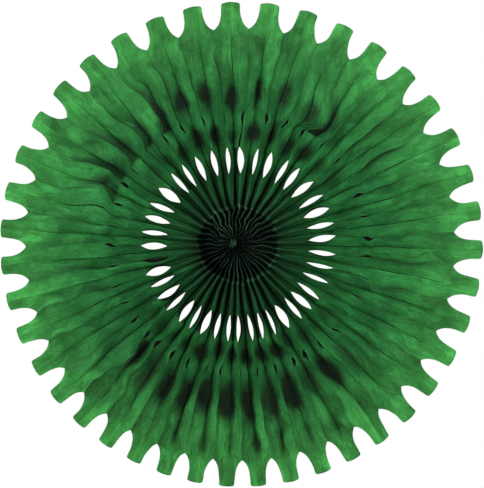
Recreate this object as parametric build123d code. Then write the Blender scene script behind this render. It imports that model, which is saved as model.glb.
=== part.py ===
from build123d import *
import os
from math import cos, pi, radians, sin, sqrt

# Tissue fan medallion, in millimetres: one accordion-pleated sheet opened to a full round.
# The disc stands upright in the XZ plane, its show side faces -Y and the glued seam is at the top.
# The origin is the centre of the rim circle, halfway through the depth of the pleats.
# A fold line is a number: whole for a ridge at the front, and a half for the valley behind it.

# The open sheet; OPENNESS is the mean half pitch at the rim over the width of a panel
TIP_RADIUS = 317.5
PLEAT = 27.0
OPENNESS = 0.9
WALL = 0.3
FOLDS = round(pi * TIP_RADIUS / (PLEAT * OPENNESS))

# Where the fold lines run together, off the rim's centre
HUB_X = -6.5
HUB_Z = -1.3

# The folds stand further apart at the top than at the bottom: two waves round the rim, in degrees
TURN = 8.26
SPREAD = 5.77
SPREAD_AT = 72.5
SPREAD_TWICE = 0.87
SPREAD_TWICE_AT = -14.25

# Teeth, as cut in the folded pack: along the fold from the notch root, and in from the ridge
NOTCH_LENGTH = 36.0
NOTCH_BELLY_ALONG = 6.6
NOTCH_BELLY = 7.4
NOTCH_SHOULDER_ALONG = 22.3
NOTCH_SHOULDER = 13.0
TOOTH_SIDE = 14.4
TOOTH_CORNER = 2.4
TOOTH_CROWN = 1.8

# Punches through the ridges: distance from the hub, length and depth
WINDOW_AT = 110.0
WINDOW_LENGTH = 35.5
WINDOW_DEPTH = 11.3
SLIT_AT = 168.0
SLIT_LENGTH = 14.0
SLIT_DEPTH = 3.6
NICK_LENGTH = 9.0
NICK_DEPTH = 5.0

# The sunk eye round the hub, where the gathered ridges fall back behind a nick in each
EYE_RADIUS = 48.0
EYE_LIP = 5.0
EYE_LIP_DEPTH = 4.5
GATHER = 8.0
BORE_RADIUS = 6.5

# The two ends of the sheet stay open along part of the glued ridge at the top
SEAM_TURN = 79.0
SEAM_GAP_AT = 148.0
SEAM_GAP_LENGTH = 52.0
SEAM_GAP_DEPTH = 2.4

# Binding thread, drawn through a prick in every panel near its inner end
THREAD = 1.0
THREAD_INSET = 3.0
THREAD_CLEARANCE = 0.15
THREAD_SIDES = 6

# How finely a panel's twist is broken into flat facets, and a round cut into straight snips
FACETS = 3
WINDOW_SNIPS = 6
NOTCH_SNIPS = 3
SLIT_SNIPS = 2

# How far the tools run past the sheet
OVERRUN = 4.0

SEAM_RIDGE = round(FOLDS * SEAM_TURN / 360)
THREAD_RADIUS = BORE_RADIUS + THREAD_INSET
BLANK_RADIUS = TIP_RADIUS + OVERRUN
CUT_DEPTH = PLEAT + 4 * OVERRUN
STATIONS = [BORE_RADIUS, EYE_RADIUS - EYE_LIP]
STATIONS += [EYE_RADIUS + (BLANK_RADIUS - EYE_RADIUS) * step / FACETS for step in range(FACETS + 1)]


def rim_angle(line):
    turn = 2 * pi * line / FOLDS
    first = SPREAD * sin(turn - radians(SPREAD_AT))
    second = SPREAD_TWICE * sin(2 * (turn - radians(SPREAD_TWICE_AT)))
    return turn + radians(TURN + first + second)


def ring_centre(along):
    # Rings round the fan shift from the hub to the rim's centre as they grow
    share = 1 - along / TIP_RADIUS
    return share * HUB_X, share * HUB_Z


def plan(line, along):
    x, z = ring_centre(along)
    angle = rim_angle(line)
    return x + along * cos(angle), z + along * sin(angle)


def half_pitch(line, along):
    before_x, before_z = plan(line - 0.5, along)
    after_x, after_z = plan(line + 0.5, along)
    return sqrt((after_x - before_x) ** 2 + (after_z - before_z) ** 2) / 2


def fold_depth(line, along):
    # A panel keeps its width, so the pleats are deep at the hub and nearly flat at the rim
    half_rise = sqrt(PLEAT ** 2 - half_pitch(line, along) ** 2) / 2
    if line != int(line):
        return half_rise
    if along >= EYE_RADIUS:
        return -half_rise
    lip = EYE_RADIUS - EYE_LIP
    lip_front = EYE_LIP_DEPTH - PLEAT / 2
    hub_front = PLEAT / 2 - GATHER
    if along >= lip:
        share = (EYE_RADIUS - along) / EYE_LIP
        return share * lip_front - (1 - share) * half_rise
    share = (lip - along) / (lip - BORE_RADIUS)
    return lip_front + share * (hub_front - lip_front)


def wall_reach(line, along):
    # Half the wall measured straight through the disc, so that it is WALL square to the panel
    pitch = half_pitch(line, along)
    rise = abs(fold_depth(line + 0.5, along) - fold_depth(line, along))
    return WALL / 2 * sqrt(pitch ** 2 + rise ** 2) / pitch


def corner(line, along, side):
    # A corner of the sheet's skin, on its front for side -1 and on its back for side 1
    x, z = plan(line, along)
    return Vector(x, fold_depth(line, along) + side * wall_reach(line, along), z)


def facet(*corners):
    return Face(Wire.make_polygon(corners))


def skin(line, side):
    # One side of the panel between a fold and the next
    after = line + 0.5
    faces = []
    for near, far in zip(STATIONS, STATIONS[1:]):
        faces.append(facet(corner(line, near, side), corner(after, near, side), corner(line, far, side)))
        faces.append(facet(corner(after, near, side), corner(after, far, side), corner(line, far, side)))
    return faces


def panel_end(line, along):
    after = line + 0.5
    front = [corner(line, along, -1), corner(after, along, -1)]
    back = [corner(after, along, 1), corner(line, along, 1)]
    return facet(*front, *back)


def pleated_sheet():
    faces = []
    for panel in range(2 * FOLDS):
        line = panel / 2
        faces += skin(line, -1) + skin(line, 1)
        faces += [panel_end(line, BORE_RADIUS), panel_end(line, BLANK_RADIUS)]
    return Solid(Shell(faces))


def flat_point(ridge, valley, along, across):
    # A point of the folded pack, where it comes to lie in the open fan
    ridge_x, ridge_z = plan(ridge, along)
    valley_x, valley_z = plan(valley, along)
    share = across / PLEAT
    x = ridge_x + share * (valley_x - ridge_x)
    z = ridge_z + share * (valley_z - ridge_z)
    return Vector(x, -CUT_DEPTH / 2, z)


def cutter(corners):
    return Solid.extrude(facet(*corners), Vector(0, CUT_DEPTH, 0))


def chords(start, middle, end, count):
    # The corners of an arc that is cut as a few straight snips, without its last one
    arc = Edge.make_three_point_arc(start, middle, end)
    return [arc @ (step / count) for step in range(count)]


def punch(ridge, at, length, depth, snips):
    # A lens across the ridge: a bite in the folded pack
    inner = flat_point(ridge, ridge, at - length / 2, 0)
    outer = flat_point(ridge, ridge, at + length / 2, 0)
    before = flat_point(ridge, ridge - 0.5, at, depth)
    after = flat_point(ridge, ridge + 0.5, at, depth)
    return cutter(chords(inner, before, outer, snips) + chords(outer, after, inner, snips))


def tooth_side(ridge, valley):
    # From the notch root up the tooth's side, past its corner and over its crown
    def at(along, across):
        return flat_point(ridge, valley, along, across)

    root = TIP_RADIUS - NOTCH_LENGTH
    crown_edge = TIP_RADIUS - TOOTH_CROWN
    belly = at(root + NOTCH_BELLY_ALONG, NOTCH_BELLY)
    shoulder = at(root + NOTCH_SHOULDER_ALONG, NOTCH_SHOULDER)
    side_end = at(crown_edge - TOOTH_CORNER, TOOTH_SIDE)
    crown = at(crown_edge, TOOTH_SIDE + TOOTH_CORNER)
    tip = at(TIP_RADIUS, PLEAT)
    outside = at(BLANK_RADIUS + 2 * OVERRUN, PLEAT + OVERRUN)
    return chords(at(root, 0), belly, shoulder, NOTCH_SNIPS) + [shoulder, side_end, crown, tip, outside]


def notch(ridge):
    root, *after = tooth_side(ridge, ridge + 0.5)
    return cutter(tooth_side(ridge, ridge - 0.5) + after[::-1])


def thread_depth():
    return (fold_depth(0, THREAD_RADIUS) + fold_depth(0.5, THREAD_RADIUS)) / 2


def thread_hole(ridge):
    # A needle's square prick through the two panels of a pleat, square to its ridge
    x, z = plan(ridge, THREAD_RADIUS)
    reach = 2 * half_pitch(ridge, THREAD_RADIUS)
    width = THREAD + 2 * THREAD_CLEARANCE
    across = Vector(-sin(rim_angle(ridge)), 0, cos(rim_angle(ridge)))
    start = Plane(origin=Vector(x, thread_depth(), z) - across * reach, x_dir=(0, 1, 0), z_dir=across)
    return Solid.extrude(Face.make_rect(width, width, start), across * (2 * reach))


def ridge_tools(ridge):
    return [
        notch(ridge),
        punch(ridge, SLIT_AT, SLIT_LENGTH, SLIT_DEPTH, SLIT_SNIPS),
        punch(ridge, WINDOW_AT, WINDOW_LENGTH, WINDOW_DEPTH, WINDOW_SNIPS),
        punch(ridge, EYE_RADIUS, NICK_LENGTH, NICK_DEPTH, SLIT_SNIPS),
        thread_hole(ridge),
    ]


def tissue_fan():
    tools = [punch(SEAM_RIDGE, SEAM_GAP_AT, SEAM_GAP_LENGTH, SEAM_GAP_DEPTH, SLIT_SNIPS)]
    for ridge in range(FOLDS):
        tools += ridge_tools(ridge)
    return pleated_sheet().cut(*tools)


def hub_thread():
    # A ring of six-sided section, closed on itself
    x, z = ring_centre(THREAD_RADIUS)
    centre = Vector(x, thread_depth(), z)
    corners = []
    for side in range(THREAD_SIDES):
        turn = 2 * pi * side / THREAD_SIDES
        corners.append(centre + Vector(THREAD_RADIUS + THREAD / 2 * cos(turn), THREAD / 2 * sin(turn), 0))
    section = Face(Wire.make_polygon(corners))
    return Solid.revolve(section, 360, Axis(centre, (0, 1, 0)))


os.makedirs("parts", exist_ok=True)
export_step(tissue_fan(), "parts/tissue_fan.step")
export_step(hub_thread(), "parts/hub_thread.step")
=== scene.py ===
import bpy
import numpy as np
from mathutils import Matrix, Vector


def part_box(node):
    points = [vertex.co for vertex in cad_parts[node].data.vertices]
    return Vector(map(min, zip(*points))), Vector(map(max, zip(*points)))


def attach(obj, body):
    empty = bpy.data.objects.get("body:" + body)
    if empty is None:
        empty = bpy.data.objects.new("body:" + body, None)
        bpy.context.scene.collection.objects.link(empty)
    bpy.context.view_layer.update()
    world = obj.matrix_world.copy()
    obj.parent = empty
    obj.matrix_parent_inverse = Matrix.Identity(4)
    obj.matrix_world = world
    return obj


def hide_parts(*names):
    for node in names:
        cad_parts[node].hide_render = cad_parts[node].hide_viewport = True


bl_info = {
    "name": "Paper fan medallion",
    "version": (1, 0, 0),
    "blender": (4, 5, 0),
    "location": "3D View > Sidebar > Paper fan",
    "description": "A pleated, die-cut tissue fan opened to a full round, with its thread and a plain stage",
    "category": "Add Mesh",
}

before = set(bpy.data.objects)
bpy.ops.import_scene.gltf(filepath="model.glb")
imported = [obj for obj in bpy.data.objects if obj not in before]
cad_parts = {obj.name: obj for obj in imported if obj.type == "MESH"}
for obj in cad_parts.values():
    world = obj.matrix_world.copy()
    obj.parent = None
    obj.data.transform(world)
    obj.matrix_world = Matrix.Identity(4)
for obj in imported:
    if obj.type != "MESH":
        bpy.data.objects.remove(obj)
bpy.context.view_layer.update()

# The shape functions work in millimetres, the materials and the stage in metres
MM = 0.001

# The open sheet. A fold line is a number: whole for a ridge at the front, a half for the valley behind it.
FOLDS = 41
TIP_RADIUS = 317.5
BORE_RADIUS = 6.5
SEAM_RIDGE = 9

# Where the fold lines run together, off the rim's centre, and a last pull to the left inside the eye
HUB_X = -6.5
HUB_Z = -1.3
HUB_PULL = 3.4
HUB_PULL_WITHIN = 44

# The folds stand further apart at the top than at the bottom: two waves round the rim, in degrees
TURN = 8.26
SPREAD = 5.77
SPREAD_AT = 72.5
SPREAD_TWICE = 0.87
SPREAD_TWICE_AT = -14.25

# Teeth: the notch's root, depth, rounding and flare, and the tooth's side, corner and crown. The notches
# reach further in on the right, the teeth hang lower at the bottom, and the rows beyond TOOTH_FROM are fitted
# to the tooth's end.
NOTCH_ROOT = 281.5
NOTCH_DEPTH = 13.6
NOTCH_ROUND = 8.0
NOTCH_FLARE = 0.012
NOTCH_FURTHER = 1.8
TOOTH_FROM = 296
TOOTH_SIDE = 14.0
TOOTH_CORNER = 2.1
TOOTH_CORNER_FALL = 2.0
TOOTH_CROWN = 1.9
TOOTH_LOWER = 2.8

# Punches through the ridges: distance from the hub and length, and how far the shut ones are tucked in. WIDE
# and NARROW are shares of the window's depth. A shallower cut or tuck than the least ones is left out.
WINDOW_AT = 110.0
WINDOW_LENGTH = 35.5
WIDE_WINDOWS = (0, 2, 4, 7, 9, 15, 17, 19, 21, 23, 25, 27, 34, 36)
WIDE = 1.3
NARROW = 0.82
COVERED_WINDOW = 20
SLIT_AT = 168.0
SLIT_LENGTH = 14.0
SLIT_TUCK = 3.4
SEAM_GAP_AT = 148.0
SEAM_GAP_LENGTH = 52.0
SEAM_GAP_TUCK = 2.4
LEAST_CUT = 0.6
LEAST_TUCK = 0.05

# The sunk eye, where the gathered ridges fall back
EYE_RADIUS = 49.5
EYE_LIP_AT = 43
EYE_LIP_DEPTH = 4.5
GATHER = 8.0

# The narrowest and the widest that a panel is drawn, seen from the front
NARROWEST = 1.2
WIDEST = 25.8

# Ridges that lean aside where a panel has flopped over or a tooth stands askew: the ridge, the distances
# where its lean begins, is greatest and ends, and the lean. Then the valleys pushed along under the largest.
LEANS = (
    (5, 168, 184, 214, -3.0),
    (6, 169, 189, 242, -21.0),
    (12, 250, 266, 281, 4.0),
    (13, 178, 204, 262, -14.0),
    (14, 170, 195, 240, -5.0),
    (14, 250, 266, 281, 5.0),
    (15, 171, 188, 236, -8.0),
    (16, 176, 200, 250, -8.0),
    (17, 174, 196, 244, -19.0),
    (19, 175, 200, 230, -2.5),
    (21, 176, 206, 240, -5.0),
    (21, 250, 266, 281, -3.5),
    (22, 188, 214, 246, 4.5),
    (23, 250, 266, 281, -3.5),
    (24, 182, 208, 246, 9.0),
    (25, 205, 225, 248, -6.0),
    (33, 186, 205, 236, -2.5),
    (37, 168, 188, 224, -3.0),
)
SHOVES = ((17, -8.5), (16, -6.5), (6, -8.5), (5, -6.5))

# Distances of the two rings of soft pockets of painted shade
INNER_POCKETS = 143.5
OUTER_POCKETS = 206

# Binding thread: its ring through the panels, and its wraps over the gathered ends on the left
RING_RADIUS = 9.5
WRAPS = 6.5
WRAP_STEP = 1.25
WRAP_POINTS = 30
THREAD_SIDES = 8

# The stage, in metres: the camera's distance and aim, and the width that its frame takes in at the fan. The
# camera's sensor is 36 mm wide, and the room's light is a share of white.
CAMERA_AWAY = 3.0
CAMERA_X = 0.0007
CAMERA_Z = -0.0007
FRAME_WIDTH = 0.6402
SENSOR = 36
STAGE_REACH = 4
FLOOR_Z = -0.40
BACKDROP_Y = 0.7
BACKDROP_TOP = 3.6
ROOM_LIGHT = 0.12


def linear(code):
    """An sRGB hex colour as linear red, green and blue."""
    parts = [int(code[i : i + 2], 16) / 255 for i in (1, 3, 5)]
    return tuple(c / 12.92 if c <= 0.04045 else ((c + 0.055) / 1.055) ** 2.4 for c in parts)


# Sizes and colours that a user would change


class FanSizes(bpy.types.PropertyGroup):
    pleat: bpy.props.FloatProperty(
        name="Pleat", description="Width of a panel from a ridge to a valley", default=0.027, unit="LENGTH"
    )
    tissue: bpy.props.FloatProperty(
        name="Tissue", description="Thickness of the sheet", default=0.00015, unit="LENGTH"
    )
    window: bpy.props.FloatProperty(
        name="Window depth",
        description="How deep the window is cut into the folded pack",
        default=0.0115,
        unit="LENGTH",
    )
    slack: bpy.props.FloatProperty(
        name="Slack", description="How much the panels belly and the ridges wander", default=1.0, min=0, max=2
    )
    thread: bpy.props.FloatProperty(
        name="Thread", description="Diameter of the binding thread", default=0.001, unit="LENGTH"
    )


class FanColours(bpy.types.PropertyGroup):
    rim: bpy.props.FloatVectorProperty(
        name="Rim", description="A single layer of dyed tissue", default=linear("#3f8d43"), subtype="COLOR"
    )
    # painted shade: the body's darker green is mixed in further from the rim, standing for the shade of the
    # steeper, closer pleats there
    body: bpy.props.FloatVectorProperty(
        name="Body", description="Tissue with more of it behind", default=linear("#2b753b"), subtype="COLOR"
    )
    # painted shade: the near-black green that the painted shade value mixes in, in closed pleats, pockets,
    # beside flopped leaves, at ridge edges, beside windows and in snips
    deep: bpy.props.FloatVectorProperty(
        name="Deep", description="Tissue whose layers lie close", default=linear("#121a12"), subtype="COLOR"
    )
    gathered: bpy.props.FloatVectorProperty(
        name="Gathered", description="Crushed ridges in the eye", default=linear("#48705a"), subtype="COLOR"
    )
    thread: bpy.props.FloatVectorProperty(
        name="Thread", description="The binding thread", default=linear("#14351f"), subtype="COLOR"
    )


# The sheet's grid: ridge, side, row and column. Side -1 is the panel clockwise from its ridge, and 1 the
# one on its other side.


def stations():
    """Distances from the hub where the sheet has a row: even steps that are closer at each cut, and beyond
    the notch root steps that grow by a power."""
    marks = (0.5, 44.5, 58.0, 92.5, 127.5, 160.0, 176.0, NOTCH_ROOT)
    counts = (15, 7, 6, 14, 5, 7, 11)
    rows = []
    for start, end, count in zip(marks, marks[1:], counts):
        rows.append(start + (end - start) * np.arange(count) / count)
    rows.append(NOTCH_ROOT + (TIP_RADIUS - NOTCH_ROOT) * (np.arange(17) / 16) ** 1.35)
    return np.concatenate(rows)


ALONG = stations()
ACROSS = np.array([0, 0.04, 0.14, 0.32, 0.53, 0.74, 0.92, 1.0])
RIDGE = np.arange(FOLDS)[:, None, None, None]
SIDE = np.array([-1, 1])[None, :, None, None]
ROW = np.arange(len(ALONG))[None, None, :, None]
PANEL = (SIDE + 1) // 2
VALLEY = np.where(SIDE > 0, RIDGE, (RIDGE - 1) % FOLDS)


def hump(x, centre, reach):
    """A bell round a centre."""
    return np.exp(-(((x - centre) / reach) ** 2))


def rise_to(x, start, end):
    """A smooth step from 0 at start to 1 at end."""
    t = np.clip((x - start) / (end - start), 0, 1)
    return t * t * (3 - 2 * t)


def wander(rng, lengths, sizes):
    """For each fold line, a sum of sine waves of the given lengths and sizes along it, at random starts."""
    total = np.zeros((FOLDS, len(ALONG)))
    for length, size in zip(lengths, sizes):
        start = rng.uniform(0, 2 * np.pi, (FOLDS, 1))
        stretch = rng.uniform(0.8, 1.25, (FOLDS, 1))
        height = size * rng.normal(1, 0.35, (FOLDS, 1))
        total += height * np.sin(2 * np.pi * ALONG / (length * stretch) + start)
    return total


# Where the folds and the cuts lie


def rim_angle(line):
    """The fold lines' directions: even steps round the fan, closed up at the bottom by two slow waves."""
    turn = 2 * np.pi * line / FOLDS
    first = SPREAD * np.sin(turn - np.radians(SPREAD_AT))
    second = SPREAD_TWICE * np.sin(2 * (turn - np.radians(SPREAD_TWICE_AT)))
    return turn + np.radians(TURN + first + second)


def fold_plan(line, along, aside):
    """A point of a fold line as x and z: out from a centre that drifts from the hub to the rim's centre as
    the ring grows, with a pull to the left at the hub, and then aside along the ring. The teeth at the bottom
    and the notches on the right are shifted along the fold by a smooth amount."""
    share = 1 - along / TIP_RADIUS
    pull = HUB_PULL * np.clip(1 - along / HUB_PULL_WITHIN, 0, None) ** 2
    angle = rim_angle(line)
    along = along + TOOTH_LOWER * rise_to(-np.sin(angle), 0.3, 0.85) * (along / TIP_RADIUS) ** 2
    along = along - NOTCH_FURTHER * rise_to(np.cos(angle), 0, 0.6) * hump(along, NOTCH_ROOT, 28)
    x = HUB_X * share - pull + along * np.cos(angle) - aside * np.sin(angle)
    z = HUB_Z * share + 0.5 * pull + along * np.sin(angle) + aside * np.cos(angle)
    return x, z


def bite(centre, length, depth):
    """How deep a punch reaches in from the ridge: a parabola over its length."""
    return depth * np.clip(1 - ((ALONG - centre) / (length / 2)) ** 2, 0, None)


def punches(rng, window):
    """What is cut from each ridge, and what is snipped there but stays shut, its ridge tucked in between the
    panels: the slits, the gap in the seam and the one window that another layer covers. A notch nears its
    depth by an exponential."""
    ridge = np.arange(FOLDS)[:, None]
    size = np.where(np.isin(ridge, WIDE_WINDOWS), WIDE, NARROW)
    size = size + np.clip(rng.normal(0, 0.11, (FOLDS, 1)), -0.25, 0.25)
    windows = bite(WINDOW_AT, WINDOW_LENGTH, window) * size
    covered = ridge == COVERED_WINDOW
    root = np.clip(ALONG - NOTCH_ROOT, 0, None)
    notches = NOTCH_DEPTH * (1 - np.exp(-root / NOTCH_ROUND)) + NOTCH_FLARE * root
    cut = np.where(covered, 0, windows) + notches
    cut = np.where(cut < LEAST_CUT, 0, cut)
    tuck = bite(SLIT_AT, SLIT_LENGTH, SLIT_TUCK) * np.clip(rng.normal(0.9, 0.45, (FOLDS, 1)), 0, 1.5)
    tuck[SEAM_RIDGE] += bite(SEAM_GAP_AT, SEAM_GAP_LENGTH, SEAM_GAP_TUCK)
    tuck = np.where(covered, tuck + 0.5 * windows, tuck)
    return cut, np.where((tuck < LEAST_TUCK) | (cut > 0), 0, tuck)


def held_back(ridge, valley):
    """The ridges' strays, held to where no panel is pulled wider than the sheet or folded past the next."""
    half = 1.04 * np.pi * ALONG / FOLDS
    before = np.roll(valley, 1, axis=0)
    lowest = np.maximum(valley + half - WIDEST, before - half + NARROWEST)
    highest = np.minimum(before + WIDEST - half, valley + half - NARROWEST)
    held = np.clip(ridge, np.minimum(lowest, highest), np.maximum(lowest, highest))
    return ridge + (held - ridge) * rise_to(ALONG, 60, 120)


def fold_paths(rng, slack):
    """How far each ridge and each valley strays to the side: slow waves in the open part, a lean where a
    panel has flopped over, and ripples in the gathered eye, sine waves along the folds that run in step from
    fold to fold."""
    number = np.arange(FOLDS)[:, None]
    angle = rim_angle(number)
    eye = 1 - rise_to(ALONG, 40, 58)
    loose = rise_to(ALONG, 60, 150) * (1 - rise_to(ALONG, 240, NOTCH_ROOT))
    valley = wander(rng, (150, 70), (0.8, 0.4)) * rise_to(ALONG, 120, 170) * slack
    valley += rng.normal(0, 0.8, (FOLDS, 1)) * hump(ALONG, 112, 42)
    ridge = wander(rng, (190, 90, 45), (2.2, 1.1, 0.5)) * loose * slack
    ridge += wander(rng, (60, 30), (0.5, 0.3)) * rise_to(ALONG, 125, 150) * slack
    ridge += rng.normal(0, 0.7, (FOLDS, 1)) * hump(ALONG, 106, 40)
    reach = 0.9 + 1.3 * np.clip(np.sin(angle), 0, 1) * rng.uniform(0.5, 1.3, (FOLDS, 1))
    ripple = np.sin(2 * np.pi * ALONG / 31 + 0.16 * number + rng.normal(0, 0.5, (FOLDS, 1)))
    ripple += 0.35 * np.sin(2 * np.pi * ALONG / 11 + rng.uniform(0, 6.28, (FOLDS, 1)))
    ripple += 1.6 * hump(ALONG, 30, 16) * np.clip(-np.sin(angle - np.radians(20)), 0, 1)
    ripple = ripple * reach * eye * rise_to(ALONG, 6, 26)
    ridge += rng.normal(0, 0.9, (FOLDS, 1)) * hump(ALONG, 74, 20) * slack
    ridge -= 1.7 * hump(np.degrees(angle), 69, 20) * hump(ALONG, 74, 22) * slack
    ridge += (1.2 * np.sin(angle) + rng.normal(0, 1.2, (FOLDS, 1))) * hump(ALONG, 266, 12) * slack
    for line, start, peak, end, lean in LEANS:
        ridge[line] += lean * rise_to(ALONG, start, peak) * (1 - rise_to(ALONG, peak, end)) * slack
    for line, shove in SHOVES:
        valley[line] += shove * rise_to(ALONG, 168, 190) * (1 - rise_to(ALONG, 196, 232)) * slack
    ridge = held_back(ridge, valley)
    stray = np.random.default_rng(5).normal(0, 0.85, (2, FOLDS, 1))
    stray = stray[0] * hump(ALONG, 36, 9) + stray[1] * hump(ALONG, 22, 8)
    return ridge + ripple + stray * eye, valley + ripple


def eye_edge(rng):
    """Where each ridge drops away into the eye, which is wider than it is high, and widest on the right."""
    bearing = rim_angle(np.arange(FOLDS))
    return EYE_RADIUS + 3.2 * np.cos(bearing) ** 2 + 1.0 * np.cos(bearing) + rng.normal(0, 1.2, FOLDS)


# Painted shade: where light is lost between the layers and in the folds, as shares from 0 to 1 of the light
# on the sheet, which the tissue's material paints into its colour


def for_panels(rng, mean, spread):
    """A random factor for each panel."""
    return np.clip(rng.normal(mean, spread, (FOLDS, 2)), 0, 1.6)[RIDGE, PANEL]


def for_valleys(rng, mean, spread):
    """A random value for each valley."""
    return rng.normal(mean, spread, FOLDS)[VALLEY]


def closed_pleats(angle, s, t, steep, eye):
    """The light lost down steep pleats, by a smooth step on their steepness: most in the eye, and from there
    to the windows more at the top and the bottom than at the sides. The hub's middle and right are dark all
    over."""
    opening = rise_to(s, eye - 2, eye + 24)
    sides = 0.72 * rise_to(s, eye - 3, eye + 8) * (1 - np.abs(np.sin(angle)))
    closed = rise_to(steep, 0.04 + 0.86 * opening, 0.6 + 3.0 * opening) * (1 - sides)
    closed = closed * (0.95 - 0.25 * rise_to(s, eye - 3, eye + 7))
    strap = rise_to(s, eye, eye + 10) * (1 - rise_to(s, 95, 128))
    above = rise_to(np.sin(angle), 0.2, 0.8)
    below = rise_to(-np.sin(angle), 0.4, 0.9)
    closed = closed * (1 - 0.5 * strap * above * (SIDE < 0))
    closed = np.maximum(closed, 0.84 * strap * above * (SIDE > 0) * rise_to(t, 0.0, 0.42))
    closed = np.maximum(closed, 0.84 * strap * below * rise_to(t, 0.02, np.where(SIDE > 0, 0.52, 0.4)))
    hub = 0.75 * (1 - rise_to(s, 9, 25))
    hub = hub + 0.52 * rise_to(np.cos(angle), 0.2, 0.9) * (1 - rise_to(s, eye - 8, eye))
    closed = 1 - (1 - closed) * (1 - hub)
    return closed * (0.92 + 0.08 * rise_to(s, 90, 110))


def beside_leaves(s, t, right, squeeze):
    """The light lost beside a ridge that has flopped over, by smooth steps on how far its panel is squeezed:
    what is hidden on that panel, and what is cast on the panel across the valley."""
    near = np.maximum(squeeze, np.roll(squeeze, -2, axis=2))
    hidden = rise_to(near, 0.16, 0.62) * rise_to(s, 150, 176) * (1 - rise_to(s, 222, 256))
    hidden = hidden * (0.35 + 0.65 * right)
    hidden = np.clip(1.25 * hidden * rise_to(t, 0.0, 0.3), 0, 0.97)
    across = np.stack([np.roll(near[:, 1], 1, axis=0), np.roll(near[:, 0], -1, axis=0)], axis=1)
    cast = 0.95 * rise_to(across, 0.42, 0.85) * rise_to(t + 0.42 * rise_to(across, 0.78, 0.92), 0.25, 0.62)
    cast = cast * rise_to(s, 168, 178) * (1 - rise_to(s, 198, 228))
    return hidden, cast


def soft_pockets(rng, angle, s, t, right, squeeze):
    """The light lost in soft pockets over the valleys, bells along and across with their tops cut flat. They
    stand in an inner and an outer ring, and faintly before the notches. They fade towards the fan's sides,
    and each is centred on the flank that faces right and runs on over the valley to its neighbour. The softer
    shades of the draped leaves go with them."""
    bearing = rim_angle(VALLEY + 0.5) % (2 * np.pi)
    over = np.where(-np.sin(bearing) * SIDE > 0, t, 2 - t)
    upper = rise_to(np.sin(bearing), -0.2, 0.2)
    power = np.abs(np.sin(bearing))

    def blot(at, reach, middle, width):
        from_middle = ((s - at) / reach) ** 2 + ((over - middle) / width) ** 2
        return np.clip(1.8 * np.exp(-from_middle) - 0.15, 0, 1)

    shift = for_valleys(rng, 0, 3.5)
    beyond = 0.25 * upper * rise_to(np.cos(bearing), -0.05, 0.25)
    low = rise_to(-np.sin(bearing), 0.75, 0.97)
    inner = blot(INNER_POCKETS + shift, 12 + 2 * upper, 0.9 + beyond, 0.45 + 0.21 * low + 0.12 * upper)
    inner = inner * for_valleys(rng, 1.12, 0.14) * (1 + 0.12 * upper) * power**2.3
    calm = 1 - hump(np.degrees(bearing), 44, 18)
    heavy = hump(np.degrees(bearing), 306, 4.5) + hump(np.degrees(bearing), 289, 5)
    at = OUTER_POCKETS - 8 * upper - 7 * heavy + shift
    outer = blot(at, 24 - 6 * upper, 0.86 - 0.14 * low + beyond, 0.42 + 0.18 * low + 0.16 * heavy)
    outer = outer * power ** (2.4 - 0.8 * upper) * for_valleys(rng, 1.12, 0.14) * calm * (1 + 0.6 * heavy)
    rim = (0.3 + 0.4 * low) * blot(264 - shift, 13, 0.7 + 0.25 * low, 0.35) * power**2
    rim = rim * for_valleys(rng, 0.75, 0.5)
    draped = 0.26 * hump(np.degrees(angle), 228, 24) * right * hump(s, 205 + 2 * shift, 46)
    draped = draped * for_panels(rng, 0.85, 0.3) * (1 - rise_to(t, 0.5, 1.0) * (1 - hump(s, 200, 30)))
    lee = 0.3 * hump(np.degrees(angle), 128, 30) * right * rise_to(s, 180, 200) * (1 - rise_to(s, 226, 250))
    under = 0.45 * (1 - upper) * power**3 * rise_to(over, 0.75, 1.05) * (1 - rise_to(over, 1.25, 1.6))
    under = under * rise_to(s, 150, 158) * (1 - rise_to(s, 272, 290))
    hidden, cast = beside_leaves(s, t, right, squeeze)
    soft = np.clip(inner + outer + rim + lee + under + cast, 0, 1)
    soft = 1 - (1 - soft) * (1 - np.clip(draped, 0, 0.8)) * (1 - hidden)
    return np.clip(soft, 0, 0.96)


def crisp_edges(rng, angle, s, t, right):
    """The light lost at the edge of a ridge, crisp there and fading away from it: in a wedge under each
    notch, in a line along the ridge, in a band on the left and the right of the fan, and where the sheet's
    ends overlap."""
    down = np.clip(-np.cos(angle) * SIDE, 0, 1)
    east = rise_to(np.cos(angle), 0.3, 0.8)
    away = np.clip(1.25 * right**0.7 * (1 - 0.8 * east) + 0.4 * down * east, 0, 1)
    below = rise_to(-np.sin(angle), 0.4, 0.9)
    wedge = (1 - rise_to(t, 0.05, 0.85)) * rise_to(s, 238, 262) * (1 - rise_to(s, 281, 287)) * away
    wedge = wedge * for_panels(rng, 0.5, 0.25)
    wedge = wedge * (1 - 0.75 * rise_to(np.sin(angle), 0, 0.6)) * (1 - 0.4 * below)
    edge = 0.36 * (1 - rise_to(t, 0, 0.22)) * rise_to(s, 130, 150) * (1 - rise_to(s, 236, 262)) * away
    band = rise_to(np.cos(angle - np.radians(150)), 0.3, 0.8)
    band = band + rise_to(np.cos(angle - np.radians(12)), 0.5, 0.95)
    band = band * (SIDE < 0) * (1 - rise_to(t, 0.08, 0.6)) * rise_to(s, 170, 192) * (1 - rise_to(s, 228, 262))
    edge = edge + band * for_panels(rng, 0.34, 0.2)
    overlap = np.where(RIDGE == SEAM_RIDGE, 0.3, 0) * rise_to(s, 236, 242) * (1 - rise_to(s, 274, 278))
    return np.clip(wedge + edge + overlap, 0, 0.8)


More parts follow.
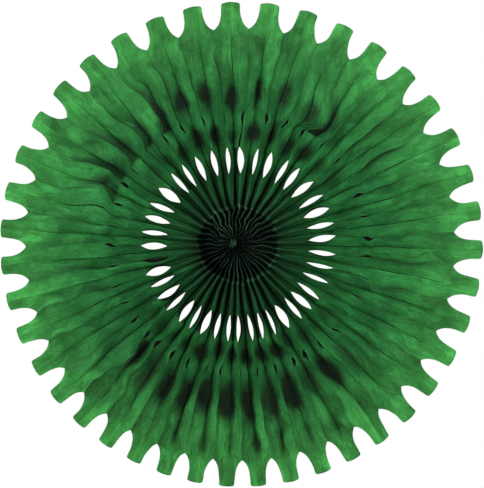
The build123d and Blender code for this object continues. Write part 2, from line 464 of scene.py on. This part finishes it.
def window_slivers(rng, angle, s, t, from_cut):
    """The light lost in a sliver along one side of each window, by a smooth step from its edge. The slivers
    are broadest and darkest at the lower left."""
    turned = np.where(rng.random(FOLDS)[RIDGE] < 0.15, -1, 1)
    dark_side = np.where(hump(np.degrees(angle), 100, 28) > 0.5, 1, -1) * turned
    lower = rise_to(np.cos(angle - np.radians(245)), 0.4, 0.8)
    strength = np.maximum(lower, rng.uniform(0.1, 1.0, FOLDS)[RIDGE])
    reach = 0.04 + (0.28 + 0.36 * lower) * (t - from_cut)
    sliver = np.where(SIDE == dark_side, 0.94 * strength, 0.1) * (1 - rise_to(from_cut, reach, reach + 0.1))
    return sliver * (1 - rise_to(np.abs(s - WINDOW_AT + 2), 14, 24))


def shades(rng, s, t, from_cut, steep, squeeze, eye):
    """All the light that is lost, as painted shade: 1 less the product of what each cause lets through."""
    angle = rim_angle(RIDGE) % (2 * np.pi)
    right = np.clip(-np.sin(angle) * SIDE, 0, 1)
    lit = 1 - closed_pleats(angle, s, t, steep, eye)
    lit = lit * (1 - soft_pockets(rng, angle, s, t, right, squeeze))
    lit = lit * (1 - crisp_edges(rng, angle, s, t, right))
    lit = lit * (1 - window_slivers(rng, angle, s, t, from_cut))
    return np.clip(1 - lit, 0, 1)


def tones_and_painted_shade(rng, s, t, eye):
    """How light the tissue shows: a random level for each panel with slow waves along its folds. Painted
    shade makes it dimmer by the ridges between the eye and the windows, less so at the upper right, and at
    the lower left, and painted light makes those straps lighter towards their valleys at the sides. In the
    eye single ridges are lighter or darker, and a painted shadow darkens a curved band on the left."""
    tone = 1 + rng.normal(0, 0.09, (FOLDS, 2))[RIDGE, PANEL]
    tone = tone + wander(rng, (110, 60), (0.08, 0.07))[RIDGE, ROW] * SIDE
    tone = tone + wander(rng, (95, 40), (0.05, 0.04))[VALLEY, ROW] * t
    bearing = rim_angle(RIDGE) % (2 * np.pi)
    degrees = np.degrees(bearing)
    strap = rise_to(s, eye - 2, eye + 8) * (1 - rise_to(s, 92, 128))
    # painted shade on the straps, darker towards the ridge, and painted light towards the valleys at the
    # sides
    dim = 0.46 - 0.2 * hump(degrees, 72, 26)
    tone = tone * (1 - dim * strap * (1 - t) ** 0.7) * (1 + 0.5 * strap * np.cos(bearing) ** 2 * t)
    # painted shade at the lower left, between about 120 and 260 mm out
    tone = tone * (1 - 0.16 * hump(degrees, 228, 26) * (1 - rise_to(s, 225, 260)) * rise_to(s, 120, 150))
    streak = np.clip(np.random.default_rng(9).normal(0, 0.38, FOLDS), -0.6, 0.8)[RIDGE]
    streak = streak * (1 - rise_to(s, 34, 56))
    bunched = np.where(RIDGE % 2 == 0, -0.5, 0.35) * (1 - rise_to(s, 15, 27))
    tone = tone * (1 + streak) * (1 + bunched)
    # painted shadow: a dark curved band on the left of the eye, where its lip shades the sunk ridges
    painted_crescent_shadow = rise_to(degrees, 138, 165) * (1 - rise_to(degrees, 238, 265))
    painted_crescent_shadow = painted_crescent_shadow * np.maximum(0.88 * hump(s, eye - 8, 10), 0.55 * (1 - rise_to(s, 34, 44)))
    return tone * (1 - painted_crescent_shadow)


# The sheet


def panel_grid(cut, tuck, pleat):
    """The distance s from the hub and the share t across each panel, from its ridge to its valley, and how
    far t is from the edge of whatever was punched from the ridge, where it begins. The teeth's ends fall from
    the tip by a parabola and at the corner by a quarter of an ellipse."""
    edge = (cut + tuck)[RIDGE, ROW] / pleat
    t = edge + (1 - edge) * ACROSS
    t = np.where((ACROSS == 0) & (tuck[RIDGE, ROW] > 0), 0, t) + 0 * SIDE
    depth = t * pleat
    crown = TOOTH_CROWN * ((pleat - depth) / (pleat - TOOTH_SIDE)) ** 2
    corner = np.clip((TOOTH_SIDE + TOOTH_CORNER - depth) / TOOTH_CORNER, 0, 1)
    end = TIP_RADIUS - crown - TOOTH_CORNER_FALL * (1 - np.sqrt(1 - corner**2))
    s = ALONG[ROW] + 0 * t
    fitted = TOOTH_FROM + (s - TOOTH_FROM) * (end - TOOTH_FROM) / (TIP_RADIUS - TOOTH_FROM)
    return np.where(s > TOOTH_FROM, fitted, s), t, t - edge


def ridge_depth(s, t, outside, pitch, half_rise, tuck, pleat):
    """How far back the ridges lie. Outside the eye it is the third side of a right triangle on the wider
    pitch, before the valley. Inside, the ridges are sunk and rise back to the hub by a power. A tucked ridge
    is pushed in."""
    widest = np.minimum(np.max(pitch, axis=1, keepdims=True), 0.97 * pleat)
    rise = np.sqrt(pleat**2 - widest**2)
    lip = EYE_LIP_DEPTH - pleat / 2
    hub = pleat / 2 - GATHER
    sunk = lip + (hub - lip) * np.clip((EYE_LIP_AT - s) / (EYE_LIP_AT - BORE_RADIUS), 0, 1) ** 0.8
    pushed = np.where(t == 0, np.minimum(11.0 * (tuck[RIDGE, ROW] / 3.2) ** 0.6, 14.0), 0)
    return sunk * (1 - outside) + (half_rise - rise) * outside + pushed


def bellies(rng, s, t, unrolled, sag, pleat, slack):
    """How far a panel stands off its chord: across it a parabola, whose height along it is its sag with soft
    puffs, hollows and waves; then crinkles, a sum of sine waves over the unrolled sheet; less a cubic hollow
    by the ridge."""
    hollow = hump(s, 144, 12) + 0.9 * hump(s, 199, 19)
    puff = hump(s, 165, 14) + hump(s, 245, 30)
    waves = wander(rng, (80, 45), (0.5, 0.3))[RIDGE, ROW]
    waves = waves + wander(rng, (70, 38), (0.5, 0.3))[VALLEY, ROW]
    belly = (puff - 1.2 * hollow + waves) * slack * rise_to(s, 118, 150) + 0.8 * sag
    crinkles = np.zeros_like(t)
    for _ in range(26):
        count = rng.integers(70, 300)
        slant = rng.uniform(-1, 1) * 2 * np.pi / 16
        start = rng.uniform(0, 6.28)
        crinkles += np.sin(2 * np.pi * count * unrolled / (2 * FOLDS * pleat) + slant * s + start)
    flat = 1 - rise_to(s, 258, 286)
    crinkles *= 0.12 * slack * (0.15 + 0.85 * rise_to(s, 120, 150)) * (0.15 + 0.85 * flat)
    arch = 4 * t * (1 - t) * belly * (0.3 + 0.7 * flat) + np.sin(np.pi * t) * crinkles
    return arch - 6.75 * t * (1 - t) ** 2 * 2.0 * rise_to(s, 120, 160) * flat * slack


def fan_shape(pleat, window, slack):
    """The tissue sheet's middle surface, as points over the grid, with its values and its unrolled place.

    A panel is a straight chord from its ridge to its valley and an arch square to it. A panel keeps its
    width, so the rise between its valley and its ridge is the third side of a right triangle on the pitch.
    Where a ridge leans to one side its wider panel sets that rise, and the other panel bellies by the width
    that it has to spare: a parabola is as high as the root of 3/8 of its chord times its spare length."""
    rng = np.random.default_rng(41)
    cut, tuck = punches(rng, window)
    ridge, valley = fold_paths(rng, slack)
    eye = eye_edge(rng)[RIDGE]
    s, t, from_cut = panel_grid(cut, tuck, pleat)

    ridge_x, ridge_z = fold_plan(RIDGE, s, ridge[RIDGE, ROW])
    valley_x, valley_z = fold_plan(RIDGE + SIDE / 2, s, valley[VALLEY, ROW])
    pitch = np.sqrt((valley_x - ridge_x) ** 2 + (valley_z - ridge_z) ** 2)
    even_pitch = np.hypot(*np.subtract(fold_plan(RIDGE + SIDE / 2, s, 0), fold_plan(RIDGE, s, 0)))
    half_rise = np.sqrt(pleat**2 - np.minimum(even_pitch, 0.98 * pleat) ** 2) / 2
    outside = rise_to(s, eye - 5, eye + 3)
    ridge_y = ridge_depth(s, t, outside, pitch, half_rise, tuck, pleat)
    drop = half_rise - ridge_y
    chord = np.sqrt(pitch**2 + drop**2)

    spare = np.clip(pleat - chord, 0, 9)
    sag = np.sqrt(3 / 8 * chord * spare) * (1 - rise_to(cut[RIDGE, ROW], 0, 4))
    unrolled = (2 * RIDGE + SIDE * t) * pleat
    arch = bellies(rng, s, t, unrolled, np.where(outside > 0.5, sag, 0), pleat, slack)
    x = ridge_x + (valley_x - ridge_x) * (t + drop / chord * arch / pitch)
    z = ridge_z + (valley_z - ridge_z) * (t + drop / chord * arch / pitch)
    y = ridge_y + drop * t - pitch / chord * arch

    # each tooth curls a little to the front or the back
    y = y + rng.normal(0, 1.6, FOLDS)[VALLEY] * rise_to(s, 270, TIP_RADIUS) ** 1.5 * t

    tone = tones_and_painted_shade(rng, s, t, eye)
    # painted shade that darkens the green inwards as the pleats grow steeper and closer: 0 at the tips, 1 by
    # 190 mm out, and rising to 2 in the eye, where the eye's green is mixed in
    painted_crowd_shade = np.clip((325 - s) / 135, 0, 1) + 1 - rise_to(s, 30, 64) * (0.75 + 0.25 * rise_to(s, 64, 100))
    values = {
        # the painted shade value: the light lost in the folds, painted into the colour
        "painted_shade": shades(rng, s, t, from_cut, t * drop / pitch, 1 - pitch / even_pitch, eye),
        "painted_crowd_shade": painted_crowd_shade,
        "tone": tone,
    }
    values = {name: np.broadcast_to(value, t.shape).reshape(-1) for name, value in values.items()}
    points = np.stack(np.broadcast_arrays(x, y, z), axis=-1)
    uv = np.stack(np.broadcast_arrays(unrolled, s), axis=-1).reshape(-1, 2)
    return points, values, uv, cut, tuck


def panel_quads(index):
    """The quads of a grid of indices, wound so that both panels of a ridge face the same way."""
    a, b = index[:, :, :-1, :-1], index[:, :, 1:, :-1]
    c, d = index[:, :, 1:, 1:], index[:, :, :-1, 1:]
    left = np.stack([a, b, c, d], axis=-1)[:, 0].reshape(-1, 4)
    right = np.stack([a, d, c, b], axis=-1)[:, 1].reshape(-1, 4)
    return np.concatenate([left, right])


def sheet_faces(shape, cut):
    """Quads over the sheet, and which grid point each stands on: neighbours share their valley, and the two
    panels of a ridge share it wherever nothing is cut from it."""
    index = np.arange(np.prod(shape)).reshape(shape)
    same = index.copy()
    same[:, 0, :, -1] = np.roll(index[:, 1, :, -1], 1, axis=0)
    same[:, 0, :, 0] = np.where(cut == 0, index[:, 1, :, 0], index[:, 0, :, 0])
    used, packed = np.unique(panel_quads(same), return_inverse=True)
    return used, packed.reshape(-1, 4), panel_quads(index)


def snip_corners(shape, corners, tuck):
    """The corners of the quads that reach from a tucked-in ridge to the edge of its snip."""
    ridge, _, row, column = np.unravel_index(corners.min(axis=1), shape)
    deepest = np.maximum(tuck[ridge, row], tuck[ridge, np.minimum(row + 1, shape[2] - 1)])
    return np.repeat((column == 0) & (deepest > 0), 4)


# The thread


def binding(x, y, z):
    """The thread's closed path: a ring through the panels, and on its left close turns over the gathered
    ends, each an ellipse about 9 mm high that steps to the right. A running mean of seven points rounds where
    the two meet."""
    turn = np.linspace(0, WRAPS, round(WRAPS * WRAP_POINTS))
    phase = 2 * np.pi * turn + np.pi
    height = (4.4 + 1.7 * np.sin(2.1 * turn + 0.4)) * np.sin(phase)
    middle = 0.3 + 0.9 * np.sin(3.4 * turn)
    aside = -14.9 + WRAP_STEP * turn + 0.16 * height
    wraps = np.stack([aside, 7.0 + 4.0 * np.cos(phase), middle + height], axis=1)
    turn = np.radians(np.linspace(150, -178, 96))
    ring = np.stack([x + RING_RADIUS * np.cos(turn), y + 0 * turn, z + RING_RADIUS * np.sin(turn)], axis=1)
    path = np.concatenate([ring[-3:], wraps, ring, wraps[:3]])
    return np.stack([np.convolve(path[:, axis], np.ones(7) / 7, "valid") for axis in range(3)], axis=1)


def tube(path, radius):
    """A closed ring of circles of that radius carried along a closed path."""
    forward = np.roll(path, -1, axis=0) - np.roll(path, 1, axis=0)
    forward /= np.linalg.norm(forward, axis=1, keepdims=True)
    across = np.cross(forward, (0.0, 1.0, 0.0))
    across /= np.linalg.norm(across, axis=1, keepdims=True)
    up = np.cross(across, forward)
    turn = 2 * np.pi * np.arange(THREAD_SIDES) / THREAD_SIDES
    circles = across[:, None] * np.cos(turn)[None, :, None] + up[:, None] * np.sin(turn)[None, :, None]
    points = path[:, None] + radius * circles
    index = np.arange(len(path) * THREAD_SIDES).reshape(len(path), THREAD_SIDES)
    beside, ahead = np.roll(index, -1, axis=1), np.roll(index, -1, axis=0)
    quads = np.stack([index, beside, np.roll(ahead, -1, axis=1), ahead], axis=-1)
    return points.reshape(-1, 3), quads.reshape(-1, 4)


def new_piece(name, points, quads, material, cad_node):
    """A mesh object in metres from millimetre points, smooth, standing for its CAD node."""
    mesh = bpy.data.meshes.new(name)
    mesh.from_pydata((points * MM).tolist(), [], quads.tolist())
    mesh.polygons.foreach_set("use_smooth", np.ones(len(quads), dtype=bool))
    mesh.materials.append(material)
    mesh.update()
    piece = bpy.data.objects.new(name, mesh)
    bpy.context.scene.collection.objects.link(piece)
    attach(piece, "root")
    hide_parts(cad_node)
    return piece


# Materials


def add(tree, kind, inputs=None, **settings):
    """Adds a node and sets its properties. An input gets a value, or a link from a socket or a node's first
    output."""
    node = tree.nodes.new(kind)
    for name, value in settings.items():
        setattr(node, name, value)
    for name, source in (inputs or {}).items():
        if isinstance(source, bpy.types.Node):
            source = source.outputs[0]
        if isinstance(source, bpy.types.NodeSocket):
            tree.links.new(source, node.inputs[name])
        else:
            node.inputs[name].default_value = source
    return node


def new_material(name):
    """An empty node material."""
    material = bpy.data.materials.new(name)
    material.use_nodes = True
    material.node_tree.nodes.clear()
    return material, material.node_tree


def dyed_tissue_with_painted_shade(colours, pleat):
    """Tissue paper, dyed green: thin, matt and a little translucent, so its open rim glows. Painted shade
    mixes its green towards a near-black one where light is lost in the folds, darkens it inwards, and draws
    dark lines on its folds and along its wrinkles. It has fine wrinkles a few millimetres apart, and cloudy
    fibre that varies its green."""
    material, tree = new_material("dyed tissue paper with painted shade")
    sheet = add(tree, "ShaderNodeUVMap", uv_map="sheet")
    place = add(tree, "ShaderNodeSeparateXYZ", {0: sheet})
    along = place.outputs["Y"]

    # clouds of fibre 25 mm across, wrinkles that run out along the folds about every 9 mm, cockle every 5 mm,
    # and a web of faint folds 16 mm across
    cloud = add(
        tree,
        "ShaderNodeTexNoise",
        {"Vector": sheet, "Scale": 40.0, "Detail": 3.0, "Roughness": 0.55, "Distortion": 0.6},
    )
    drawn = add(tree, "ShaderNodeMapping", {"Vector": sheet, "Scale": (1.0, 0.16, 1.0)})
    strands = add(
        tree, "ShaderNodeTexNoise", {"Vector": drawn, "Scale": 110.0, "Detail": 2.0, "Roughness": 0.6}
    )
    cockle = add(
        tree, "ShaderNodeTexNoise", {"Vector": sheet, "Scale": 190.0, "Detail": 3.0, "Roughness": 0.6}
    )
    web = add(tree, "ShaderNodeTexVoronoi", {"Vector": sheet, "Scale": 62.0}, feature="DISTANCE_TO_EDGE")

    # facets 12 mm across and 26 mm long: crumpled once and smoothed out again, the tissue still turns a
    # little from one small field to the next, and each field is painted lighter or darker as the shade of its
    # turn
    sway = add(tree, "ShaderNodeVectorMath", {0: cloud.outputs["Color"], "Scale": 0.012}, operation="SCALE")
    bent = add(tree, "ShaderNodeVectorMath", {0: sheet, 1: sway}, operation="ADD")
    wide = add(tree, "ShaderNodeMapping", {"Vector": bent, "Scale": (1.0, 0.45, 1.0)})
    field = add(tree, "ShaderNodeTexVoronoi", {"Vector": wide, "Scale": 85.0})
    turned = add(tree, "ShaderNodeSeparateXYZ", {0: field.outputs["Color"]})

    # across the sheet, the distance from the nearest ridge; times the distance from the hub it gives lines
    # that are finer towards the rim
    reach = add(tree, "ShaderNodeMath", {0: place.outputs["X"], 1: pleat}, operation="PINGPONG")
    off_ridge = add(tree, "ShaderNodeMath", {0: reach, 1: along}, operation="MULTIPLY")
    rest = add(tree, "ShaderNodeMath", {0: pleat, 1: reach}, operation="SUBTRACT")
    off_valley = add(tree, "ShaderNodeMath", {0: rest, 1: along}, operation="MULTIPLY")
    off_strand = add(tree, "ShaderNodeMath", {0: strands, 1: 0.5}, operation="SUBTRACT")
    off_strand = add(tree, "ShaderNodeMath", {0: off_strand}, operation="ABSOLUTE")

    # each from one value to another, while its source goes from one mark to the next
    ramps = {
        "crinkle": (web, 0, 0.09, 0, 1, "SMOOTHSTEP"),
        # painted shade on the fold lines: narrow bands at the valleys and the ridges
        "on valley": (off_valley, 0.00012, 0.00027, 1, 0, "SMOOTHSTEP"),
        "valley fade": (along, 0.228, 0.300, 1.0, 0.2, "SMOOTHSTEP"),
        "on ridge": (off_ridge, 0.00004, 0.00024, 1, 0, "SMOOTHSTEP"),
        "ridge start": (along, 0.085, 0.130, 0.0, 0.45, "SMOOTHSTEP"),
        "ridge fade": (along, 0.222, 0.262, 1.0, 0.7, "SMOOTHSTEP"),
        # how strong the painted shade on the fold lines is, varying with the clouds
        "uneven fold shade": (cloud, 0.35, 0.6, 0.7, 1, "LINEAR"),
        "cloud tone": (cloud, 0, 1, 0.48, 1.54, "LINEAR"),
        "strand tone": (strands, 0, 1, 0.62, 1.42, "LINEAR"),
        "cockle tone": (cockle, 0, 1, 0.82, 1.18, "LINEAR"),
        # painted shade: thin dark lines that run along the wrinkles
        "wrinkle line shade": (off_strand, 0.0, 0.035, 0.8, 1.0, "SMOOTHSTEP"),
        # painted light and shade: each small field lighter or darker by its turn
        "facet shade": (turned, 0, 1, 0.8, 1.2, "LINEAR"),
        # painted shade along the faint folds of the web
        "web fold shade": (web, 0, 0.035, 0.86, 1.0, "SMOOTHSTEP"),
    }
    level = {}
    for name, (source, low, high, start, end, curve) in ramps.items():
        marks = {"Value": source, "From Min": low, "From Max": high, "To Min": start, "To Max": end}
        level[name] = add(tree, "ShaderNodeMapRange", marks, interpolation_type=curve)

    # relief: the clouds, sharpened by the web, with the strands and the cockle on top
    height = add(tree, "ShaderNodeMath", {0: level["crinkle"], 1: cloud, 2: cloud}, operation="MULTIPLY_ADD")
    height = add(tree, "ShaderNodeMath", {0: strands, 1: 0.8, 2: height}, operation="MULTIPLY_ADD")
    height = add(tree, "ShaderNodeMath", {0: cockle, 1: 0.35, 2: height}, operation="MULTIPLY_ADD")
    bump = add(tree, "ShaderNodeBump", {"Height": height, "Strength": 0.75, "Distance": 0.0009})

    # painted shade on the folds: thin dark lines on the valleys that fade out along the teeth, and fainter
    # ones on the ridges
    valleys = add(
        tree, "ShaderNodeMath", {0: level["on valley"], 1: level["valley fade"]}, operation="MULTIPLY"
    )
    ridges = add(
        tree, "ShaderNodeMath", {0: level["on ridge"], 1: level["ridge start"]}, operation="MULTIPLY"
    )
    ridges = add(tree, "ShaderNodeMath", {0: ridges, 1: level["ridge fade"]}, operation="MULTIPLY")
    crease_shade = add(tree, "ShaderNodeMath", {0: valleys, 1: ridges}, operation="ADD")
    crease_shade = add(tree, "ShaderNodeMath", {0: crease_shade, 1: level["uneven fold shade"]}, operation="MULTIPLY")
    off_crease_shade = add(tree, "ShaderNodeMath", {0: 1.0, 1: crease_shade}, operation="SUBTRACT")

    # the tone value: the panels' random tone, with painted shade and a painted shadow in it
    panel = add(tree, "ShaderNodeAttribute", attribute_name="tone").outputs["Fac"]
    tone = level["cloud tone"]
    for name in ("strand tone", "cockle tone", "wrinkle line shade", "facet shade", "web fold shade"):
        tone = add(tree, "ShaderNodeMath", {0: tone, 1: level[name]}, operation="MULTIPLY")
    tone = add(tree, "ShaderNodeMath", {0: tone, 1: off_crease_shade}, operation="MULTIPLY")
    tone = add(tree, "ShaderNodeMath", {0: tone, 1: panel}, operation="MULTIPLY")

    # the colour: from the rim's green to the body's darker one further in, painted shade for the steeper,
    # closer pleats; then the eye's; then the near-black painted shade colour where light is lost
    # the value of painted shade that grows inwards
    painted_crowd_shade = add(tree, "ShaderNodeAttribute", attribute_name="painted_crowd_shade").outputs["Fac"]
    # the painted shade value, from 0 to 1, which mixes in the near-black green
    painted_shade = add(tree, "ShaderNodeAttribute", attribute_name="painted_shade").outputs["Fac"]
    more = add(tree, "ShaderNodeMath", {0: painted_crowd_shade, 1: 1.0}, operation="SUBTRACT")
    dye = (*colours.rim, 1)
    for share, colour in ((painted_crowd_shade, colours.body), (more, colours.gathered), (painted_shade, colours.deep)):
        laid = {"Factor": share, 6: dye, 7: (*colour, 1)}
        dye = add(tree, "ShaderNodeMix", laid, data_type="RGBA").outputs[2]
    toned = add(tree, "ShaderNodeVectorMath", {0: dye, "Scale": tone}, operation="SCALE")
    glow = add(tree, "ShaderNodeVectorMath", {0: toned, "Scale": 1.7}, operation="SCALE")

    paper = add(
        tree,
        "ShaderNodeBsdfPrincipled",
        {"Base Color": toned, "Normal": bump, "Roughness": 0.75, "Specular IOR Level": 0.12},
    )
    through = add(tree, "ShaderNodeBsdfTranslucent", {"Color": glow, "Normal": bump})
    both = add(tree, "ShaderNodeMixShader", {0: 0.28, 1: paper, 2: through})
    add(tree, "ShaderNodeOutputMaterial", {"Surface": both})
    return material


def spun_thread(colours):
    """Spun cotton thread: matt, with a fine twist about 1 mm long that breaks its light."""
    material, tree = new_material("spun cotton thread")
    place = add(tree, "ShaderNodeTexCoord").outputs["Object"]
    waves = {"Vector": place, "Scale": 320.0, "Distortion": 1.5}
    twist = add(tree, "ShaderNodeTexWave", waves, bands_direction="DIAGONAL").outputs["Fac"]
    shade = add(tree, "ShaderNodeMapRange", {"Value": twist, "To Min": 0.6, "To Max": 1.15})
    toned = add(tree, "ShaderNodeVectorMath", {0: tuple(colours.thread), "Scale": shade}, operation="SCALE")
    bump = add(tree, "ShaderNodeBump", {"Height": twist, "Strength": 0.6, "Distance": 0.0002})
    cotton = add(tree, "ShaderNodeBsdfPrincipled", {"Base Color": toned, "Normal": bump, "Roughness": 0.85})
    add(tree, "ShaderNodeOutputMaterial", {"Surface": cotton})
    return material


def plain_ground(name):
    """Matt paint that the camera, gloss and glass see as white, and that holds the object's shadow otherwise.
    From behind it is clear, so the object can be looked at from the back too."""
    material, tree = new_material(name)
    paint = add(tree, "ShaderNodeBsdfDiffuse", {"Color": (*linear("#e7e7e7"), 1)})
    white = add(tree, "ShaderNodeEmission")
    path = add(tree, "ShaderNodeLightPath")
    seen = path.outputs["Is Camera Ray"]
    for kind in ("Is Glossy Ray", "Is Transmission Ray"):
        seen = add(tree, "ShaderNodeMath", {0: seen, 1: path.outputs[kind]}, operation="MAXIMUM")
    front = add(tree, "ShaderNodeMixShader", {0: seen, 1: paint, 2: white})
    clear = add(tree, "ShaderNodeBsdfTransparent")
    behind = add(tree, "ShaderNodeNewGeometry").outputs["Backfacing"]
    sided = add(tree, "ShaderNodeMixShader", {0: behind, 1: front, 2: clear})
    add(tree, "ShaderNodeOutputMaterial", {"Surface": sided})
    return material


# One operator for each piece, and one for the stage


class FAN_OT_tissue(bpy.types.Operator):
    """Makes the pleated tissue sheet"""

    bl_idname = "fan.tissue"
    bl_label = "Tissue fan"

    def execute(self, context):
        sizes = context.scene.fan_sizes
        points, values, uv, cut, tuck = fan_shape(sizes.pleat / MM, sizes.window / MM, sizes.slack)
        grid = points.shape[:-1]
        used, quads, corners = sheet_faces(grid, cut)
        points = points.reshape(-1, 3)[used]
        material = dyed_tissue_with_painted_shade(context.scene.fan_colours, sizes.pleat)
        piece = new_piece("pleated_tissue", points, quads, material, "tissue_fan")

        # painted shade: the tucked paper behind a snip is painted fully dark and dim, standing for the shade
        # inside the slit
        snip_shade_mask = snip_corners(grid, corners, tuck)
        values = {name: value[corners.reshape(-1)] for name, value in values.items()}
        values["painted_shade"] = np.where(snip_shade_mask, 1.0, values["painted_shade"])
        values["tone"] = np.where(snip_shade_mask, 0.4, values["tone"])
        for name, value in values.items():
            layer = piece.data.attributes.new(name, "FLOAT", "CORNER")
            layer.data.foreach_set("value", value.astype(np.float32))
        layer = piece.data.uv_layers.new(name="sheet")
        layer.data.foreach_set("uv", (uv[corners.reshape(-1)] * MM).astype(np.float32).reshape(-1))
        wall = piece.modifiers.new("tissue", "SOLIDIFY")
        wall.thickness = sizes.tissue
        wall.offset = 0
        wall.use_rim = True
        return {"FINISHED"}


class FAN_OT_thread(bpy.types.Operator):
    """Makes the binding thread at the hub"""

    bl_idname = "fan.thread"
    bl_label = "Hub thread"

    def execute(self, context):
        low, high = (np.array(corner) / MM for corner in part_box("hub_thread"))
        points, quads = tube(binding(*(low + high) / 2), context.scene.fan_sizes.thread / MM / 2)
        material = spun_thread(context.scene.fan_colours)
        new_piece("binding_thread", points, quads, material, "hub_thread")
        return {"FINISHED"}


class FAN_OT_stage(bpy.types.Operator):
    """Makes the floor, the backdrop, the lamps and the camera"""

    bl_idname = "fan.stage"
    bl_label = "Stage"

    def execute(self, context):
        scene = context.scene
        scene.view_settings.view_transform = "Standard"
        ground = plain_ground("pale ground")
        near = [(-STAGE_REACH, -STAGE_REACH, FLOOR_Z), (STAGE_REACH, -STAGE_REACH, FLOOR_Z)]
        foot = [(-STAGE_REACH, BACKDROP_Y, FLOOR_Z), (STAGE_REACH, BACKDROP_Y, FLOOR_Z)]
        top = [(STAGE_REACH, BACKDROP_Y, BACKDROP_TOP), (-STAGE_REACH, BACKDROP_Y, BACKDROP_TOP)]
        for name, corners in (("floor", near + foot[::-1]), ("backdrop", foot + top)):
            mesh = bpy.data.meshes.new(name)
            mesh.from_pydata(corners, [], [(0, 1, 2, 3)])
            mesh.materials.append(ground)
            plane = bpy.data.objects.new(name, mesh)
            scene.collection.objects.link(plane)

        # a dim room that the camera sees as white
        world = bpy.data.worlds.new("soft room")
        scene.world = world
        world.use_nodes = True
        sky = world.node_tree.nodes["Background"]
        sky.inputs["Color"].default_value = (1, 1, 1, 1)
        seen = add(world.node_tree, "ShaderNodeLightPath").outputs["Is Camera Ray"]
        level = add(world.node_tree, "ShaderNodeMapRange", {"Value": seen, "To Min": ROOM_LIGHT})
        world.node_tree.links.new(level.outputs[0], sky.inputs["Strength"])

        for name, place, size, power in (
            ("left window", (-1.5, -3.0, 0.45), 1.0, 88),
            ("right window", (1.5, -3.0, 0.2), 1.0, 80),
        ):
            lamp = bpy.data.lights.new(name, "AREA")
            lamp.size = size
            lamp.energy = power
            box = bpy.data.objects.new(name, lamp)
            box.location = place
            box.rotation_euler = (-box.location).to_track_quat("-Z", "Y").to_euler()
            scene.collection.objects.link(box)

        camera = bpy.data.cameras.new("camera")
        camera.lens = SENSOR * CAMERA_AWAY / FRAME_WIDTH
        camera.sensor_width = SENSOR
        eye = bpy.data.objects.new("camera", camera)
        eye.location = (CAMERA_X, -CAMERA_AWAY, CAMERA_Z)
        eye.rotation_euler = (np.radians(90), 0, 0)
        scene.collection.objects.link(eye)
        scene.camera = eye
        return {"FINISHED"}


class FAN_PT_panel(bpy.types.Panel):
    bl_label = "Paper fan"
    bl_idname = "FAN_PT_panel"
    bl_space_type = "VIEW_3D"
    bl_region_type = "UI"
    bl_category = "Paper fan"

    def draw(self, context):
        for group in (context.scene.fan_sizes, context.scene.fan_colours):
            for name in group.__annotations__:
                self.layout.prop(group, name)
        for operator in (FAN_OT_tissue, FAN_OT_thread, FAN_OT_stage):
            self.layout.operator(operator.bl_idname)


CLASSES = (FanSizes, FanColours, FAN_OT_tissue, FAN_OT_thread, FAN_OT_stage, FAN_PT_panel)


def register():
    for item in CLASSES:
        bpy.utils.register_class(item)
    bpy.types.Scene.fan_sizes = bpy.props.PointerProperty(type=FanSizes)
    bpy.types.Scene.fan_colours = bpy.props.PointerProperty(type=FanColours)


def unregister():
    del bpy.types.Scene.fan_sizes
    del bpy.types.Scene.fan_colours
    for item in reversed(CLASSES):
        bpy.utils.unregister_class(item)


def main():
    register()
    bpy.ops.fan.tissue()
    bpy.ops.fan.thread()
    bpy.ops.fan.stage()
    bpy.context.view_layer.update()


if __name__ == "__main__":
    main()
